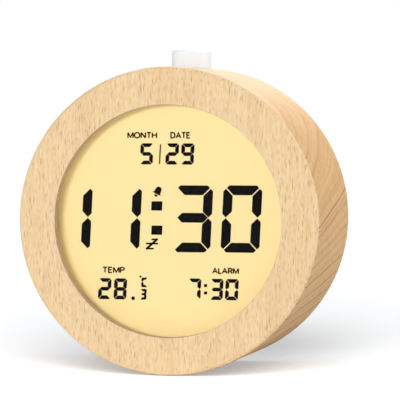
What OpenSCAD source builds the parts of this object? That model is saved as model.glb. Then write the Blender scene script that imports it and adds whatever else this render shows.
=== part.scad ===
// Round wooden alarm clock: a turned beech drum with a backlit liquid crystal
// display, a snooze button on top and its setting keys and battery door behind.
//
// Millimetres, +Z up. The origin is on the table under the middle of the clock,
// the display faces -Y and the drum's own axis runs along Y.

/* [Wooden drum] */
// Outside diameter of the drum
drum_d = 88; // [88:1:94]
// Depth of the drum, front to back
drum_depth = 48; // [48:1:54]
// Thickness of the wooden wall around the works
wall = 6.4; // [6:0.2:6.4]
// Diameter of the round window in the front
window_d = 66.4; // [62:0.4:66.4]
// How far the window lies below the front face
window_recess = 3.2; // [2.4:0.2:4]
// Radius of the rounded outer edges
edge_r = 1.6; // [0.8:0.2:2]
// How far the rear cover lies below the back edge
rear_recess = 2.5; // [2:0.5:3]

/* [Snooze button] */
// Diameter of the button where it leaves the wood
button_d = 11.8; // [11:0.2:12]
// Height of the button above the top of the drum
button_height = 5.5; // [4:0.5:7]
// Distance of the button's axis behind the front face
button_setback = 30; // [29:0.5:31]
// How far the button can be pressed
button_travel = 1.5; // [0.5:0.1:1.5]

/* [Rear keys] */
// Diameter of each setting key
key_d = 7; // [5:0.5:8]
// Distance between neighbouring keys
key_pitch = 14; // [12:1:14]
// Height of the keys above the drum's axis
key_z = 8; // [7:0.5:8]
// How far the alarm switch slides between off and on
switch_travel = 3; // [2:0.5:3]

/* [Base pad] */
// Width of the anti-roll pad let into the belly of the drum
pad_w = 13; // [11:1:18]
// Length of the pad, front to back
pad_l = 28; // [20:2:30]

/* [Hidden] */
$fn = 96;
eps = 0.01;

// The drum
base_gap = 0.2;
drum_r = drum_d / 2;
axis_z = base_gap + drum_r;
front_y = -drum_depth / 2;
back_y = drum_depth / 2;
window_r = window_d / 2;
cavity_r = drum_r - wall;
lip_r = 0.3;
rebate_r = drum_r - 2.5;
pad_t = 1.4;
pad_y = -12;
pad_gap = 0.1;
pad_corner_r = 2;
screw_pilot_r = 0.8;
screw_pilot_l = 7;

// The display stack, front to back
tape_t = 0.2;
lens_t = 1.5;
polarizer_t = 0.2;
glass_t = 0.7;
guide_t = 3;
reflector_t = 0.2;
floor_t = 1.2;
board_t = 1.2;
lip_y = front_y + window_recess;
lens_y = lip_y + tape_t;
polarizer_y = lens_y + lens_t;
front_glass_y = polarizer_y + polarizer_t;
rear_glass_y = front_glass_y + glass_t;
rear_polarizer_y = rear_glass_y + glass_t;
guide_y = rear_polarizer_y + polarizer_t;
reflector_y = guide_y + guide_t;
floor_y = reflector_y + reflector_t;
main_y = floor_y + floor_t;
main_back_y = main_y + board_t;

// Everything that slides into the cavity
insert_r = cavity_r - 0.3;
board_r = insert_r - 0.7;
sleeve_r = insert_r - 1.4;
half_glass = window_r + 0.5;
ledge_w = 14;
glass_gap = 0.1;
tape_step = 0.6;
ledge_z = -(half_glass + 2.4);
frame_screw_r = half_glass + 1.6;
frame_screw_head_r = 1.5;
frame_screw_l = 5;
led_x = [-8, 0, 8];
led_w = 3;
led_h = 1.6;
chip_r = 7;
chip_z = -6;
chip_h = 1.8;
crystal_r = 1;
crystal_l = 6;
crystal_pos = [9, -17];
capacitor_size = [2, 1, 1.2];
capacitor_pos = [[-14, -2], [-14, -8], [12, 6], [17, -4]];

// The rear cover
cover_t = 2.4;
cover_r = rebate_r - 0.2;
cover_back_y = back_y - rear_recess;
cover_y = cover_back_y - cover_t;
cover_screw_r = cavity_r + 1.6;
cover_screw_a = [45, 135, 225, 315];
cover_screw_head_r = 1.6;
counterbore_r = 1.75;
counterbore_t = 1.3;
screw_head_t = 1;
slot_l = 2;
slot_w = 0.4;
slot_t = 0.5;

// The battery bay and its cells, AAA size
cell_r = 5.25;
cell_l = 44.5;
nub_l = 0.8;
bay_w = 49;
bay_top = -1;
bay_bottom = -23;
bay_wall = 1.2;
bay_depth = 11.4;
contact_t = 0.3;
contact_half = 4.2;
lead_r = 0.55;
lead_hole_r = 0.8;
lead_offset = 2.6;
cell_y = cover_back_y - 7.1;
upper_cell_z = bay_top - cell_r - 0.15;
lower_cell_z = bay_bottom + cell_r + 0.15;
spring_l = bay_w - 2 * contact_t - cell_l;

// The battery door, which turns on two pins along its lower edge
door_t = 1.2;
door_gap = 0.2;
door_w = bay_w + 2;
door_top = 0;
door_bottom = bay_bottom - 1;
hinge_r = 0.7;
hinge_y = cover_back_y - hinge_r;
hinge_z = door_bottom + hinge_r + 0.05;
pin_r = 0.45;
pin_l = 1.1;
latch_w = 9.6;
latch_l = 1.8;
groove_pitch = 1.4;
groove_w = 0.7;
groove_t = 0.4;

// The key board behind the rear cover, with its switches
key_board_back_y = cover_y - 5.5;
key_board_y = key_board_back_y - board_t;
key_x = [for (i = [-1.5, -0.5, 0.5, 1.5]) i * key_pitch];
key_proud = 1.5;
tact_w = 6;
tact_h = 3.4;
tact_r = 1.7;
post_r = 2;
post_pilot_r = 0.7;
board_screw_l = 5;
tact_top_y = key_board_back_y + tact_h + 0.8;
board_posts = [[-13, 12.2], [13, 12.2], [0, 3.4]];
buzzer_pos = [15, 21.5];
buzzer_r = 6;
sound_hole_r = 0.7;
sound_ring_r = 3.2;
vent_w = 6;
vent_h = 0.8;
vent_pitch = 2;
switch_pos = [-17, 20.5];
switch_h = 3.6;
knob_w = 4;
knob_h = 3;
slot_side = 0.2;
bead_r = 1.1;
bead_lead_r = 0.25;
thermistor_pos = [-25, 12];

// The snooze switch under the button, as heights above the drum's axis
button_y = front_y + button_setback;
button_r = button_d / 2;
button_hole_r = 6.1;
button_flange_r = 7.2;
shelf_z = 24;
shelf_t = 1.5;
shelf_w = 24.8;
snooze_board_z = shelf_z + shelf_t;
snooze_switch_z = snooze_board_z + board_t;
snooze_switch_h = 6;
snooze_stem = 3.2;
stem_base_z = snooze_switch_z + 3.9;
stem_top_z = stem_base_z + 6.4;
snooze_screw_x = [-8, 8];
board_bore_r = 0.9;
board_bore_l = 4;

// Points along an arc, from angle a0 to a1
function arc(centre, r, a0, a1, steps = 8) =
    [for (i = [0 : steps]) let (a = a0 + (a1 - a0) * i / steps) centre + r * [cos(a), sin(a)]];

// A smooth curve through the given points, with n steps between neighbours
function blend(p0, p1, p2, p3, t) =
    0.5 * ((2 * p1) + (p2 - p0) * t + (2 * p0 - 5 * p1 + 4 * p2 - p3) * t * t
    + (3 * p1 - p0 - 3 * p2 + p3) * t * t * t);
function smooth(p, n = 4) = let (last = len(p) - 1) concat(
    [for (i = [0 : last - 1], k = [0 : n - 1])
        blend(p[max(i - 1, 0)], p[i], p[i + 1], p[min(i + 2, last)], k / n)],
    [p[last]]);

// Places a shape turned about Z so that it turns about the drum's axis instead
module about_axis() {
    translate([0, 0, axis_z]) rotate([-90, 0, 0]) children();
}

// A plate from y0 to y1 whose outline is drawn as seen from the front
module plate(y0, y1) {
    translate([0, y1, axis_z]) rotate([90, 0, 0]) linear_extrude(y1 - y0) children();
}

// A round bar along Y from y0 to y1, at x and at z above the drum's axis
module bar(x, z, y0, y1, r) {
    translate([x, y0, axis_z + z]) rotate([-90, 0, 0]) cylinder(h = y1 - y0, r = r);
}

// A block given by its lowest and highest corner, with z above the drum's axis
module block(low, high) {
    translate(low + [0, 0, axis_z]) cube(high - low);
}

// A rectangle given by two corners
module window(x0, x1, z0, z1) {
    translate([x0, z0]) square([x1 - x0, z1 - z0]);
}

// A regular octagon with flat top, given by half its width across the flats
module octagon(half) {
    rotate(22.5) circle(r = half / cos(22.5), $fn = 8);
}

// A round wire along a path, with flat ends. No part of the path runs along side.
module wire(path, r, side, sides = 8) {
    last = len(path) - 1;
    rings = [for (i = [0 : last])
        let (ahead = path[min(i + 1, last)] - path[max(i - 1, 0)], t = ahead / norm(ahead),
            u0 = cross(side, t), u = u0 / norm(u0), v = cross(t, u))
        [for (k = [0 : sides - 1]) let (a = 360 * k / sides) path[i] + r * (cos(a) * u + sin(a) * v)]];
    translate([0, 0, axis_z]) polyhedron(
        points = [for (ring = rings, p = ring) p],
        faces = concat(
            [[for (k = [0 : sides - 1]) k]],
            [for (i = [0 : last - 1], k = [0 : sides - 1]) let (j = (k + 1) % sides, a = i * sides,
                b = a + sides) [a + j, a + k, b + k, b + j]],
            [[for (k = [sides - 1 : -1 : 0]) last * sides + k]]));
}

// A screw along Y: its head's underside is at y, and its shank runs towards dir
module screw_y(x, z, y, dir, head_r, shank_r, shank_l) {
    bar(x, z, dir > 0 ? y - screw_head_t : y, dir > 0 ? y : y + screw_head_t, head_r);
    bar(x, z, dir > 0 ? y - eps : y - shank_l, dir > 0 ? y + shank_l : y + eps, shank_r);
}

// The crossed slot in a screw head along Y
module cross_slot_y(x, z, y0, y1) {
    for (a = [0, 90])
        translate([x, y0, axis_z + z]) rotate([0, a, 0]) translate([-slot_l / 2, 0, -slot_w / 2])
            cube([slot_l, y1 - y0, slot_w]);
}

module wooden_housing() {
    profile = concat(
        arc([window_r + lip_r, front_y + lip_r], lip_r, 180, 270, 6),
        arc([drum_r - edge_r, front_y + edge_r], edge_r, -90, 0),
        arc([drum_r - edge_r, back_y - edge_r], edge_r, 0, 90),
        arc([rebate_r + lip_r, back_y - lip_r], lip_r, 90, 180, 6),
        [[rebate_r, cover_y], [cavity_r, cover_y], [cavity_r, lip_y], [window_r, lip_y]]);
    color("burlywood") difference() {
        about_axis() rotate_extrude($fn = 180) polygon(profile);
        translate([0, button_y, axis_z + cavity_r - 2]) cylinder(h = wall + 4, r = button_hole_r);
        translate([-pad_w / 2 - pad_gap, pad_y - pad_gap, -1])
            cube([pad_w + 2 * pad_gap, pad_l + 2 * pad_gap, pad_t + 1]);
        for (a = cover_screw_a)
            bar(cover_screw_r * cos(a), cover_screw_r * sin(a), cover_y - screw_pilot_l, cover_y + 1,
                screw_pilot_r);
    }
}

// A strip with rounded ends, let into a pocket so that its flat face is on the table
module base_pad() {
    r = pad_corner_r;
    color("gainsboro") linear_extrude(pad_t) {
        translate([-pad_w / 2, pad_y + r]) square([pad_w, pad_l - 2 * r]);
        translate([-pad_w / 2 + r, pad_y]) square([pad_w - 2 * r, pad_l]);
        for (x = [-1, 1], y = [pad_y + r, pad_y + pad_l - r])
            translate([x * (pad_w / 2 - r), y]) circle(r = r);
    }
}

module lens_tape_ring() {
    color("white") plate(lip_y, lens_y) difference() {
        circle(r = insert_r);
        circle(r = window_r + tape_step);
    }
}

module front_lens() {
    color("azure", 0.3) plate(lens_y, polarizer_y) circle(r = insert_r);
}

module lcd_front_polarizer() {
    color("khaki") plate(polarizer_y, front_glass_y) octagon(half_glass - glass_gap);
}

// The front glass reaches further down, and its contacts are on that ledge's back
module lcd_front_glass() {
    color("lightcyan", 0.5) plate(front_glass_y, rear_glass_y) {
        octagon(half_glass);
        window(-ledge_w / 2, ledge_w / 2, ledge_z, 1 - half_glass);
    }
}

module lcd_rear_glass() {
    color("lightcyan", 0.5) plate(rear_glass_y, rear_polarizer_y) octagon(half_glass);
}

module lcd_rear_polarizer() {
    color("khaki") plate(rear_polarizer_y, guide_y) octagon(half_glass - glass_gap);
}

module light_guide() {
    color("lemonchiffon") plate(guide_y, reflector_y) octagon(half_glass);
}

module reflector_sheet() {
    color("white") plate(reflector_y, floor_y) octagon(half_glass - glass_gap);
}

// A shallow tray that holds the glass and the light guide, with the board on its back
module lcd_frame() {
    color("whitesmoke") difference() {
        plate(polarizer_y, main_y) circle(r = insert_r);
        plate(polarizer_y - 1, floor_y) octagon(half_glass + glass_gap);
        plate(polarizer_y - 1, floor_y)
            window(-ledge_w / 2 - glass_gap, ledge_w / 2 + glass_gap, ledge_z - glass_gap,
                -half_glass + 1);
        plate(floor_y - 1, main_y + 1)
            window(-ledge_w / 2, ledge_w / 2, ledge_z, -half_glass - 0.2);
        plate(guide_y, main_y + 1)
            window(led_x[0] - led_w / 2 - 0.5, led_x[2] + led_w / 2 + 0.5, half_glass - 1,
                half_glass + led_h + 0.5);
        for (a = cover_screw_a)
            bar(frame_screw_r * cos(a), frame_screw_r * sin(a), main_y - frame_screw_l + 0.5,
                main_y + 1, screw_pilot_r + 0.05);
    }
}

// The rubber strip that joins the glass ledge's contacts to the board's
module zebra_strip() {
    color("dimgray") plate(rear_glass_y, main_y)
        window(-ledge_w / 2 + 0.2, ledge_w / 2 - 0.2, ledge_z + 0.1, -half_glass - 0.3);
}

module main_board() {
    color("seagreen") plate(main_y, main_back_y) difference() {
        circle(r = board_r);
        for (a = cover_screw_a) rotate(a) translate([frame_screw_r, 0]) circle(r = board_bore_r + 0.05);
    }
}

module frame_screws() {
    color("silver") difference() {
        for (a = cover_screw_a)
            screw_y(frame_screw_r * cos(a), frame_screw_r * sin(a), main_back_y, -1, frame_screw_head_r,
                screw_pilot_r, frame_screw_l);
        for (a = cover_screw_a)
            cross_slot_y(frame_screw_r * cos(a), frame_screw_r * sin(a), main_back_y + slot_t,
                main_back_y + 2);
    }
}

// Three side-firing diodes on the board, against the light guide's top edge
module backlight_leds() {
    color("moccasin") for (x = led_x)
        block([x - led_w / 2, guide_y + 0.4, half_glass + glass_gap],
            [x + led_w / 2, main_y, half_glass + glass_gap + led_h]);
}

// The bare chip under its drop of black resin, a shallow dome
module controller_chip() {
    dome_r = (chip_r * chip_r + chip_h * chip_h) / (2 * chip_h);
    color("black") translate([0, 0, chip_z]) about_axis() rotate_extrude() polygon(concat(
        [[0, main_back_y]],
        arc([0, main_back_y + chip_h - dome_r], dome_r, acos(chip_r / dome_r), 90)));
}

module crystal() {
    tail_l = 1.6;
    tail_r = 0.3;
    color("silver") translate([crystal_pos[0], main_back_y + crystal_r, axis_z + crystal_pos[1]])
        rotate([0, 90, 0]) {
            cylinder(h = crystal_l, r = crystal_r);
            translate([0, 0, crystal_l - eps]) cylinder(h = tail_l, r = tail_r);
        }
}

module capacitors() {
    half = capacitor_size / 2;
    color("peru") for (p = capacitor_pos)
        block([p[0] - half[0], main_back_y, p[1] - half[2]],
            [p[0] + half[0], main_back_y + capacitor_size[1], p[1] + half[2]]);
}

// The sleeve that holds the display forward, with the snooze board's shelf under its top
module inner_sleeve() {
    leg = 1.4;
    y0 = button_y - 6;
    y1 = button_y + 5.2;
    leg_top = sqrt(pow(sleeve_r + 0.7, 2) - pow(shelf_w / 2, 2));
    color("white") difference() {
        union() {
            plate(main_back_y, cover_y) difference() {
                circle(r = insert_r);
                circle(r = sleeve_r);
            }
            block([-shelf_w / 2, y0, shelf_z], [shelf_w / 2, y1, snooze_board_z]);
            for (side = [-1, 1])
                block([side * (shelf_w - leg) / 2 - leg / 2, y0, shelf_z],
                    [side * (shelf_w - leg) / 2 + leg / 2, y1, leg_top]);
        }
        translate([0, button_y, axis_z + sleeve_r - 3]) cylinder(h = 10, r = 8);
        for (a = cover_screw_a)
            bar(frame_screw_r * cos(a), frame_screw_r * sin(a), main_back_y - 1, main_back_y + 2,
                frame_screw_head_r + 0.5);
        for (x = snooze_screw_x)
            translate([x, button_y, axis_z + shelf_z - 1]) cylinder(h = shelf_t + 2, r = screw_pilot_r);
    }
}

// A hollow cap with a rounded top, a hidden collar and a post that grips the switch's stem
module snooze_button() {
    top = drum_r + button_height;
    collar = 35;
    skin = 1.2;
    round_r = 1.1;
    draft = 0.15;
    color("white") translate([0, button_y, axis_z]) difference() {
        rotate_extrude() polygon(concat(
            [[0, collar], [button_flange_r, collar], [button_flange_r, collar + 1.2],
                [button_r, collar + 1.2]],
            arc([button_r - draft - round_r, top - round_r], round_r, 0, 90),
            [[0, top]]));
        difference() {
            translate([0, 0, collar - 1]) cylinder(h = top - skin - collar + 1, r = button_r - 1.4);
            translate([0, 0, collar - 2]) cylinder(h = top - collar + 2, r = 2.8);
        }
        translate([-snooze_stem / 2 - 0.05, -snooze_stem / 2 - 0.05, collar - 1])
            cube([snooze_stem + 0.1, snooze_stem + 0.1, stem_top_z - collar + 1]);
    }
}

module snooze_plunger() {
    foot = 4.6;
    color("ivory") translate([0, button_y, axis_z]) {
        translate([-snooze_stem / 2, -snooze_stem / 2, stem_base_z])
            cube([snooze_stem, snooze_stem, stem_top_z - stem_base_z]);
        translate([-foot / 2, -foot / 2, stem_base_z]) cube([foot, foot, 1.2]);
    }
}

module snooze_spring() {
    turns = 3.5;
    coil_r = 1.6;
    wire_r = 0.17;
    z0 = snooze_switch_z + 0.82 + wire_r;
    z1 = stem_base_z - 0.02 - wire_r;
    steps = 56;
    color("silver") wire([for (i = [0 : steps]) let (a = 360 * turns * i / steps)
        [coil_r * cos(a), button_y + coil_r * sin(a), z0 + (z1 - z0) * i / steps]],
        wire_r, [0, 0, 1]);
}

module snooze_switch_housing() {
    outer = 7;
    inner = 5;
    hole = snooze_stem + 0.3;
    color("dimgray") translate([0, button_y, axis_z + snooze_switch_z]) difference() {
        translate([-outer / 2, -outer / 2, 0]) cube([outer, outer, snooze_switch_h]);
        translate([-inner / 2, -inner / 2, 0.8]) cube([inner, inner, snooze_switch_h - 1.6]);
        translate([-hole / 2, -hole / 2, 2]) cube([hole, hole, snooze_switch_h]);
    }
}

module snooze_board() {
    color("seagreen") difference() {
        block([-10.5, button_y - 5.5, snooze_board_z], [10.5, button_y + 5, snooze_switch_z]);
        for (x = snooze_screw_x)
            translate([x, button_y, axis_z + snooze_board_z - 1])
                cylinder(h = board_bore_l, r = board_bore_r);
    }
}

module snooze_board_screws() {
    color("silver") for (x = snooze_screw_x) translate([x, button_y, axis_z]) difference() {
        union() {
            translate([0, 0, snooze_switch_z]) cylinder(h = screw_head_t, r = cover_screw_head_r);
            translate([0, 0, shelf_z - 1])
                cylinder(h = snooze_switch_z - shelf_z + 1 + eps, r = screw_pilot_r - 0.05);
        }
        for (a = [0, 90])
            rotate(a) translate([-slot_l / 2, -slot_w / 2, snooze_switch_z + slot_t])
                cube([slot_l, slot_w, screw_head_t]);
    }
}

// The moulded back: a disc with the battery bay, board posts and all the openings
module rear_cover() {
    bay_y = cover_back_y - door_t - bay_depth;
    color("white") difference() {
        union() {
            plate(cover_y, cover_back_y) circle(r = cover_r);
            plate(bay_y - bay_wall, cover_y + eps)
                window(-bay_w / 2 - bay_wall, bay_w / 2 + bay_wall, bay_bottom - bay_wall,
                    bay_top + bay_wall);
            for (p = board_posts) bar(p[0], p[1], key_board_back_y, cover_y + eps, post_r);
        }
        plate(bay_y, cover_back_y + 1) window(-bay_w / 2, bay_w / 2, bay_bottom, bay_top);
        plate(cover_back_y - door_t, cover_back_y + 1)
            window(-door_w / 2, door_w / 2, door_bottom, door_top);
        plate(cover_back_y - door_t, cover_back_y + 1)
            window(-latch_w / 2 - door_gap, latch_w / 2 + door_gap, door_top - 1,
                door_top + latch_l + door_gap);
        translate([-door_w / 2, hinge_y, axis_z + hinge_z]) rotate([0, 90, 0])
            cylinder(h = door_w, r = hinge_r + 0.06);
        translate([-door_w / 2 - pin_l, hinge_y, axis_z + hinge_z]) rotate([0, 90, 0])
            cylinder(h = door_w + 2 * pin_l, r = pin_r + 0.05);
        for (x = key_x) bar(x, key_z, cover_y - 1, cover_back_y + 1, key_d / 2 + 0.15);
        plate(cover_y - 1, cover_back_y + 1)
            window(switch_pos[0] - (switch_travel + knob_w) / 2 - slot_side,
                switch_pos[0] + (switch_travel + knob_w) / 2 + slot_side,
                switch_pos[1] - knob_h / 2 - slot_side, switch_pos[1] + knob_h / 2 + slot_side);
        bar(buzzer_pos[0], buzzer_pos[1], cover_y - 1, cover_back_y + 1, sound_hole_r);
        for (a = [0 : 60 : 300])
            bar(buzzer_pos[0] + sound_ring_r * cos(a), buzzer_pos[1] + sound_ring_r * sin(a),
                cover_y - 1, cover_back_y + 1, sound_hole_r);
        plate(cover_y - 1, cover_back_y + 1) for (i = [1 : 3])
            translate([thermistor_pos[0] - vent_w / 2, thermistor_pos[1] + vent_pitch * i - 1])
                square([vent_w, vent_h]);
        for (a = cover_screw_a) {
            bar(cover_screw_r * cos(a), cover_screw_r * sin(a), cover_y - 1, cover_back_y + 1,
                screw_pilot_r + 0.2);
            bar(cover_screw_r * cos(a), cover_screw_r * sin(a), cover_back_y - counterbore_t,
                cover_back_y + 1, counterbore_r);
        }
        for (p = board_posts) bar(p[0], p[1], key_board_back_y - 1, cover_y - 0.5, post_pilot_r);
        for (z = [upper_cell_z - lead_offset, lower_cell_z - lead_offset])
            translate([-bay_w / 2 - bay_wall - 1, cell_y - 2.4, axis_z + z]) rotate([0, 90, 0])
                cylinder(h = bay_wall + 2, r = lead_hole_r);
    }
}

module rear_cover_screws() {
    seat_y = cover_back_y - counterbore_t;
    color("silver") difference() {
        for (a = cover_screw_a)
            screw_y(cover_screw_r * cos(a), cover_screw_r * sin(a), seat_y, -1, cover_screw_head_r,
                screw_pilot_r - 0.02, screw_pilot_l);
        for (a = cover_screw_a)
            cross_slot_y(cover_screw_r * cos(a), cover_screw_r * sin(a), seat_y + slot_t, seat_y + 2);
    }
}

module key_board() {
    color("seagreen") plate(key_board_y, key_board_back_y) difference() {
        intersection() {
            union() {
                window(-28, 28, 1.4, 24);
                window(8, 22, 20, 28.4);
            }
            circle(r = sleeve_r - 1.4);
        }
        for (p = board_posts) translate(p) circle(r = board_bore_r);
    }
}

module key_board_screws() {
    color("silver") difference() {
        for (p = board_posts)
            screw_y(p[0], p[1], key_board_y, 1, frame_screw_head_r, post_pilot_r - 0.05, board_screw_l);
        for (p = board_posts) cross_slot_y(p[0], p[1], key_board_y - 2, key_board_y - slot_t);
    }
}

module key_switch_housings() {
    color("dimgray") for (x = key_x) difference() {
        block([x - tact_w / 2, key_board_back_y, key_z - tact_w / 2],
            [x + tact_w / 2, key_board_back_y + tact_h, key_z + tact_w / 2]);
        bar(x, key_z, key_board_back_y + 1.2, key_board_back_y + tact_h + 1, tact_r + 0.1);
    }
}

// A setting key: rounded cap, collar behind the cover and stem down to its switch
module key(i) {
    r = key_d / 2;
    top = cover_back_y + key_proud;
    collar_r = r + 0.8;
    round_r = 0.6;
    color("lightgray") translate([key_x[i], 0, key_z]) about_axis() rotate_extrude() polygon(concat(
        [[0, tact_top_y], [1.5, tact_top_y], [1.5, cover_y - 0.9], [collar_r, cover_y - 0.9],
            [collar_r, cover_y - 0.1], [r, cover_y - 0.1]],
        arc([r - round_r, top - round_r], round_r, 0, 90),
        [[0, top]]));
}

// The part of a key's switch that the key pushes in
module plunger(i) {
    color("ivory") bar(key_x[i], key_z, tact_top_y - 1.8, tact_top_y, tact_r);
}

module alarm_switch_housing() {
    slot = switch_travel + 3.2;
    y1 = key_board_back_y + switch_h;
    color("silver") difference() {
        block([switch_pos[0] - 4.5, key_board_back_y, switch_pos[1] - 2.3],
            [switch_pos[0] + 4.5, y1, switch_pos[1] + 2.3]);
        block([switch_pos[0] - slot / 2, key_board_back_y + 1, switch_pos[1] - 1.6],
            [switch_pos[0] + slot / 2, y1 - 0.5, switch_pos[1] + 1.6]);
        block([switch_pos[0] - slot / 2 + 0.4, y1 - 1, switch_pos[1] - 1.1],
            [switch_pos[0] + slot / 2 - 0.4, y1 + 1, switch_pos[1] + 1.1]);
    }
}

module alarm_switch_slider() {
    x = switch_pos[0] - switch_travel / 2;
    y1 = key_board_back_y + switch_h;
    color("black") {
        block([x - 1.5, y1 - 1.6, switch_pos[1] - 1.5], [x + 1.5, y1 - 0.6, switch_pos[1] + 1.5]);
        block([x - 1, y1 - 1, switch_pos[1] - 1], [x + 1, cover_y + 0.3, switch_pos[1] + 1]);
    }
}

// The knob's neck runs in the cover's slot, and its collar stays behind the cover
module alarm_switch_knob() {
    x = switch_pos[0] - switch_travel / 2;
    z = switch_pos[1];
    color("lightgray") difference() {
        union() {
            block([x - knob_w / 2, cover_y - 1, z - knob_h / 2],
                [x + knob_w / 2, cover_back_y + 1.2, z + knob_h / 2]);
            block([x - knob_w, cover_y - 1, z - knob_h / 2 - 1.1],
                [x + knob_w, cover_y - 0.15, z + knob_h / 2 + 1.1]);
        }
        block([x - 1.05, cover_y - 2, z - 1.05], [x + 1.05, cover_y + 0.35, z + 1.05]);
        for (i = [-1 : 1])
            block([x + i * 1.2 - slot_w / 2, cover_back_y + 0.8, z - 2],
                [x + i * 1.2 + slot_w / 2, cover_back_y + 2, z + 2]);
    }
}

module buzzer() {
    color("black") difference() {
        bar(buzzer_pos[0], buzzer_pos[1], key_board_back_y, cover_y - 0.2, buzzer_r);
        bar(buzzer_pos[0], buzzer_pos[1], cover_y - 1.4, cover_y + 1, 1);
    }
}

// The bead that senses the room's temperature, on its two leads behind the vents
module thermistor() {
    y = cover_y - 2.4;
    color("sienna") {
        translate([thermistor_pos[0], y, axis_z + thermistor_pos[1]]) sphere(r = bead_r, $fn = 48);
        for (x = [-0.6, 0.6])
            bar(thermistor_pos[0] + x, thermistor_pos[1], key_board_back_y, y, bead_lead_r);
    }
}

// The door's lower edge is a barrel on two pins, and its upper edge has the finger tab
module battery_door() {
    top = door_top - door_gap - 0.1;
    half_w = door_w / 2 - door_gap;
    color("white") difference() {
        union() {
            plate(cover_back_y - door_t, cover_back_y) {
                window(-half_w, half_w, hinge_z, top);
                window(-latch_w / 2, latch_w / 2, top - 1, door_top + latch_l);
            }
            translate([-half_w, hinge_y, axis_z + hinge_z]) rotate([0, 90, 0])
                cylinder(h = 2 * half_w, r = hinge_r);
            translate([-door_w / 2 - pin_l + 0.1, hinge_y, axis_z + hinge_z]) rotate([0, 90, 0])
                cylinder(h = door_w + 2 * pin_l - 0.2, r = pin_r);
        }
        plate(cover_back_y - groove_t, cover_back_y + 1) for (i = [0 : 3])
            translate([-latch_w / 2 + 1, top - groove_t - groove_pitch * i])
                square([latch_w - 2, groove_w]);
        block([-half_w - 2, cover_back_y - 3, hinge_z - 2], [half_w + 2, cover_back_y - door_t, hinge_z + 2]);
    }
}

// One cell with its positive nub towards dir
module battery(z, dir) {
    nub_x = dir * (bay_w / 2 - contact_t);
    body_l = cell_l - nub_l;
    color("darkslateblue") translate([nub_x, cell_y, axis_z + z]) rotate([0, -90 * dir, 0]) {
        cylinder(h = nub_l + eps, r = 1.9);
        translate([0, 0, nub_l]) cylinder(h = body_l, r = cell_r);
    }
}

// A tapering coil from the end wall at dir to the flat end of a cell
module contact_spring(z, dir) {
    turns = 3;
    wire_r = 0.35;
    steps = 48;
    x0 = bay_w / 2 - contact_t - wire_r + 0.1;
    x1 = bay_w / 2 - contact_t - spring_l + wire_r + 0.02;
    wire([for (i = [0 : steps]) let (a = 360 * turns * i / steps, r = 3.4 - 1.2 * i / steps)
        [dir * (x0 + (x1 - x0) * i / steps), cell_y + r * cos(a), z + r * sin(a)]],
        wire_r, [1, 0, 0]);
}

module contact_plate(z0, z1, dir) {
    x0 = bay_w / 2 - contact_t;
    block([dir > 0 ? x0 : -bay_w / 2, cell_y - contact_half, z0],
        [dir > 0 ? bay_w / 2 : -x0, cell_y + contact_half, z1]);
}

module battery_bridge_contact() {
    color("silver") {
        contact_plate(lower_cell_z - contact_half, upper_cell_z + contact_half, 1);
        contact_spring(lower_cell_z, 1);
    }
}

module battery_negative_contact() {
    color("silver") {
        contact_plate(upper_cell_z - contact_half, upper_cell_z + contact_half, -1);
        contact_spring(upper_cell_z, -1);
    }
}

module battery_positive_contact() {
    color("silver") contact_plate(lower_cell_z - contact_half, lower_cell_z + contact_half, -1);
}

// A lead from a battery contact, out through the bay's end wall, to the main board
module battery_lead(z, end_z) {
    x = -bay_w / 2 - 0.05;
    y = cell_y - 2.4;
    wire(smooth([[x, y, z], [x - 2, y, z], [x - 3.9, y - 1.6, z + 0.2], [x - 4.2, 4, z + 1],
        [x - 3, -4, end_z], [x - 2.2, main_back_y + 2.5, end_z], [x - 2.2, main_back_y + 0.05, end_z]]),
        lead_r, [0, 0, 1]);
}

module battery_lead_red() {
    color("firebrick") battery_lead(lower_cell_z - lead_offset, -15);
}

module battery_lead_black() {
    color("black") battery_lead(upper_cell_z - lead_offset, -10);
}

// The flat cable from the key board to the main board, in one open loop
module ribbon_cable() {
    half_t = 0.4;
    width = 8;
    end_gap = 0.15;
    line = smooth([[key_board_y - end_gap, 19], [key_board_y - 2, 19], [key_board_y - 4.5, 17],
        [7, 10], [3, 5], [-2, 5], [-6, 9], [main_back_y + 2.5, 13], [main_back_y + end_gap, 13]], 3);
    last = len(line) - 1;
    side = [for (i = [0 : last]) let (d = line[min(i + 1, last)] - line[max(i - 1, 0)])
        half_t * [-d[1], d[0]] / norm(d)];
    color("lightgray") translate([-width / 2, 0, axis_z]) rotate([90, 0, 90]) linear_extrude(width)
        polygon(concat([for (i = [0 : last]) line[i] + side[i]],
            [for (i = [last : -1 : 0]) line[i] - side[i]]));
}

// Two leads from the snooze board's front edge down to the main board
module snooze_leads() {
    z = snooze_switch_z + 0.02;
    color("gold") for (x = [6, 7.6]) wire(smooth([[x, button_y - 4.6, z], [x, button_y - 4.8, z + 1.3],
        [x, button_y - 6.8, z + 2.1], [x, button_y - 9.5, z + 1], [x, button_y - 12.5, z - 2],
        [x, main_back_y + 2.5, 20], [x, main_back_y + 0.05, 20]]), 0.5, [1, 0, 0]);
}

wooden_housing();
base_pad();
lens_tape_ring();
front_lens();
lcd_front_polarizer();
lcd_front_glass();
lcd_rear_glass();
lcd_rear_polarizer();
light_guide();
reflector_sheet();
lcd_frame();
zebra_strip();
main_board();
frame_screws();
backlight_leds();
controller_chip();
crystal();
capacitors();
inner_sleeve();
snooze_button();
snooze_plunger();
snooze_spring();
snooze_switch_housing();
snooze_board();
snooze_board_screws();
rear_cover();
rear_cover_screws();
key_board();
key_board_screws();
key_switch_housings();
key(3);  // mode_key
key(2);  // alarm_key
key(1);  // up_key
key(0);  // down_key
plunger(3);  // mode_plunger
plunger(2);  // alarm_plunger
plunger(1);  // up_plunger
plunger(0);  // down_plunger
alarm_switch_housing();
alarm_switch_slider();
alarm_switch_knob();
buzzer();
thermistor();
battery_door();
battery(upper_cell_z, 1);  // upper_battery
battery(lower_cell_z, -1);  // lower_battery
battery_bridge_contact();
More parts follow.
